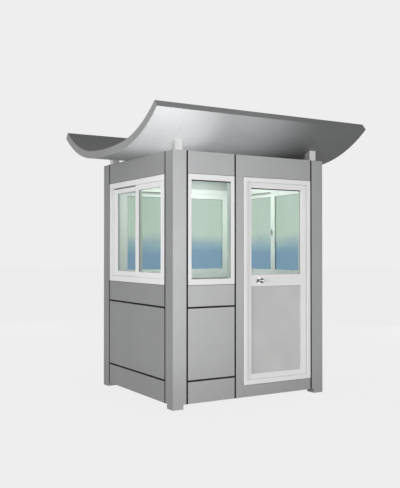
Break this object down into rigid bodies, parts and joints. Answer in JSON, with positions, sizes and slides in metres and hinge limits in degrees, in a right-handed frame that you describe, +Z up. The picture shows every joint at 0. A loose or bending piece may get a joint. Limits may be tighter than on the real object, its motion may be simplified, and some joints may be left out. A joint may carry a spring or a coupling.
{
  "type": "security guard booth",
  "caption": "One-room guard booth on corner feet: grey panel cladding with dark joints, sliding windows on three sides, a half-glazed door and an upswept curved roof",
  "frame": {"origin": "on the ground in the middle of the booth's plan", "axes": "+X to the right seen from the front, +Y to the rear, +Z up; the door is in the front wall, at -Y"},
  "size_m": [2.47, 2.2206, 2.8262],
  "materials": {
    "cladding": "satin",
    "post_paint": "satin",
    "roof_metal": "brushed",
    "frame_steel": "matte",
    "floor_covering": "matte",
    "ceiling_board": "matte",
    "wall_core": "matte",
    "window_glass": "clear",
    "door_panel": "satin",
    "hinge_steel": "satin",
    "knob_chrome": "polished",
    "window_profile": "satin"
  },
  "bodies": {
    "booth": {"corner_front_left": "cladding", "corner_front_right": "cladding", "corner_rear_left": "cladding", "corner_rear_right": "cladding", "post_front_left": "post_paint", "post_front_right": "post_paint", "post_rear_left": "post_paint", "post_rear_right": "post_paint", "floor_base": "frame_steel", "floor": "floor_covering", "ceiling": "ceiling_board", "roof": "roof_metal", "left_wall": "wall_core", "left_wall_panels": "cladding", "left_window_frame": "window_profile", "left_window_sashes": "window_profile", "left_window_glass": "window_glass", "right_wall": "wall_core", "right_wall_panels": "cladding", "right_window_frame": "window_profile", "right_window_sashes": "window_profile", "right_window_glass": "window_glass", "rear_wall": "wall_core", "rear_wall_panels": "cladding", "rear_window_frame": "window_profile", "rear_window_sashes": "window_profile", "rear_window_glass": "window_glass", "front_lower_wall": "wall_core", "door_side_walls": "wall_core", "front_header_wall": "wall_core", "front_lower_panels": "cladding", "front_header_panels": "cladding", "front_window_frame": "window_profile", "front_window_glass": "window_glass", "door_side_panel": "cladding", "door_sill_panel": "cladding", "door_frame_left": "window_profile", "door_frame_right": "window_profile", "door_frame_head": "window_profile", "door_threshold": "window_profile", "hinge_frame_leaves": "hinge_steel"},
    "door": {"door_leaf": "window_profile", "door_glass": "window_glass", "door_lower_panel": "door_panel", "hinge_door_leaves": "hinge_steel", "knob_roses": "knob_chrome"},
    "knob": {"door_knob": "knob_chrome"}
  },
  "joints": [
    {"name": "door_hinge", "type": "hinge", "parent": "booth", "child": "door", "pos_m": [0.7085, -0.732, 0.384], "axis": [0, 0, -1], "range_deg": [0, 90]},
    {"name": "knob_turn", "type": "hinge", "parent": "door", "child": "knob", "pos_m": [0.091, -0.78, 1.1955], "axis": [0, 1, 0], "range_deg": [-60, 60], "stiffness_Nm_per_rad": 0.3}
  ]
}
